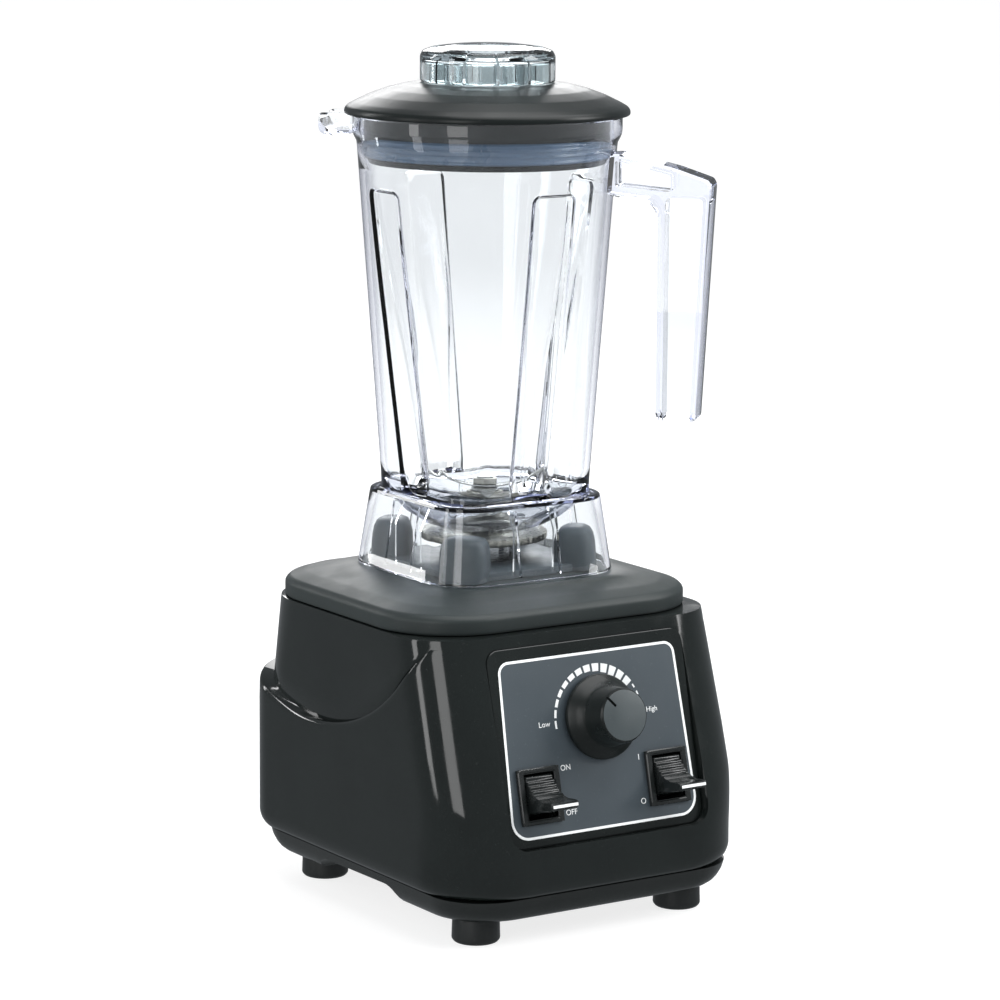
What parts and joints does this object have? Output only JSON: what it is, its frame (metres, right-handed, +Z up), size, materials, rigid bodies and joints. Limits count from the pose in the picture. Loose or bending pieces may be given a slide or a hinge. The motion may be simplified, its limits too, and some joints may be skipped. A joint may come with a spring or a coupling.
{
  "type": "countertop blender",
  "caption": "Countertop blender: a motor base with a speed dial and paddle switches drives blades in a clear square jar with a handle, spout, lid and filler cap.",
  "frame": {"origin": "centre of the whole machine's outline on the surface it stands on", "axes": "+Z up along the drive axis, the controls face -Y, +X to the machine's right seen from the front"},
  "size_m": [0.212, 0.2658, 0.51],
  "materials": {
    "gloss_black": "high gloss moulded black",
    "matte_cover": "fine textured charcoal",
    "pad_rubber": "soft dark grey",
    "pan_black": "moulded black",
    "foot_rubber": "soft black",
    "screw_steel": "plated",
    "panel_slate": "satin slate film",
    "switch_black": "semi gloss",
    "knob_black": "satin black",
    "potentiometer_metal": "plated",
    "shaft_steel": "ground",
    "board_green": "solder mask",
    "aluminium": "as cast",
    "lamination_steel": "stacked sheets",
    "copper": "enamelled copper",
    "brush_brass": "stamped",
    "carbon": "sintered",
    "shroud_plastic": "moulded",
    "mount_rubber": "soft black",
    "jar_clear": "clear polished copolyester",
    "blade_steel": "polished stainless",
    "lid_rubber": "satin black",
    "cap_clear": "clear with a smoke tint"
  },
  "bodies": {
    "base": {"housing": "gloss_black", "top_cover": "matte_cover", "centering_pad": "pad_rubber", "base_pan": "pan_black", "foot_front_left": "foot_rubber", "foot_front_right": "foot_rubber", "foot_rear_left": "foot_rubber", "foot_rear_right": "foot_rubber", "cord_inlet": "foot_rubber", "foot_screw_front_left": "screw_steel", "foot_screw_front_right": "screw_steel", "foot_screw_rear_left": "screw_steel", "foot_screw_rear_right": "screw_steel", "control_panel": "panel_slate", "switch_body_left": "switch_black", "switch_body_right": "switch_black", "potentiometer": "potentiometer_metal", "motor_bearing_lower": "shaft_steel", "motor_bearing_upper": "shaft_steel", "speed_board": "board_green", "heat_sink": "aluminium", "motor_bracket_lower": "aluminium", "motor_bracket_upper": "aluminium", "stator": "lamination_steel", "field_coil_front": "copper", "field_coil_rear": "copper", "brush_holder_left": "brush_brass", "brush_holder_right": "brush_brass", "brush_left": "carbon", "brush_right": "carbon", "fan_shroud": "shroud_plastic", "motor_mount": "mount_rubber"},
    "rotor": {"motor_shaft": "shaft_steel", "armature": "lamination_steel", "commutator": "copper", "cooling_fan": "shroud_plastic", "drive_socket": "shaft_steel"},
    "speed_dial": {"speed_knob": "knob_black", "potentiometer_shaft": "shaft_steel"},
    "power_switch": {"power_lever": "switch_black"},
    "pulse_switch": {"pulse_lever": "switch_black"},
    "jar": {"jar": "jar_clear", "bearing_carrier": "blade_steel", "retainer_nut": "blade_steel", "jar_bearing_lower": "shaft_steel", "jar_bearing_upper": "shaft_steel", "spindle_seal": "mount_rubber"},
    "blades": {"blade_spindle": "blade_steel", "blade_upper": "blade_steel", "blade_lower": "blade_steel", "blade_nut": "blade_steel"},
    "lid": {"lid": "lid_rubber"},
    "cap": {"filler_cap": "cap_clear"}
  },
  "joints": [
    {"name": "motor_spin", "type": "hinge", "parent": "base", "child": "rotor", "pos_m": [0, 0.0205, 0.12], "axis": [0, 0, 1], "continuous": true},
    {"name": "speed_turn", "type": "hinge", "parent": "base", "child": "speed_dial", "pos_m": [0.0038, -0.09697, 0.12635], "axis": [0, 0.9729, -0.2314], "range_deg": [-55, 145]},
    {"name": "power_rock", "type": "hinge", "parent": "base", "child": "power_switch", "pos_m": [-0.0442, -0.10429, 0.08697], "axis": [-1, 0, 0], "range_deg": [0, 26]},
    {"name": "pulse_rock", "type": "hinge", "parent": "base", "child": "pulse_switch", "pos_m": [0.046, -0.10429, 0.08697], "axis": [-1, 0, 0], "range_deg": [0, 26], "stiffness_Nm_per_rad": 0.08},
    {"name": "jar_lift", "type": "slide", "parent": "base", "child": "jar", "axis": [0, 0, 1], "range_m": [0, 0.1]},
    {"name": "blade_spin", "type": "hinge", "parent": "jar", "child": "blades", "pos_m": [0, 0.0205, 0.24], "axis": [0, 0, 1], "continuous": true},
    {"name": "lid_lift", "type": "slide", "parent": "jar", "child": "lid", "axis": [0, 0, 1], "range_m": [0, 0.06]},
    {"name": "cap_lift", "type": "slide", "parent": "lid", "child": "cap", "axis": [0, 0, 1], "range_m": [0, 0.045]}
  ],
  "couplings": [
    {"joint": "blade_spin", "follows": "motor_spin", "ratio": 1}
  ]
}
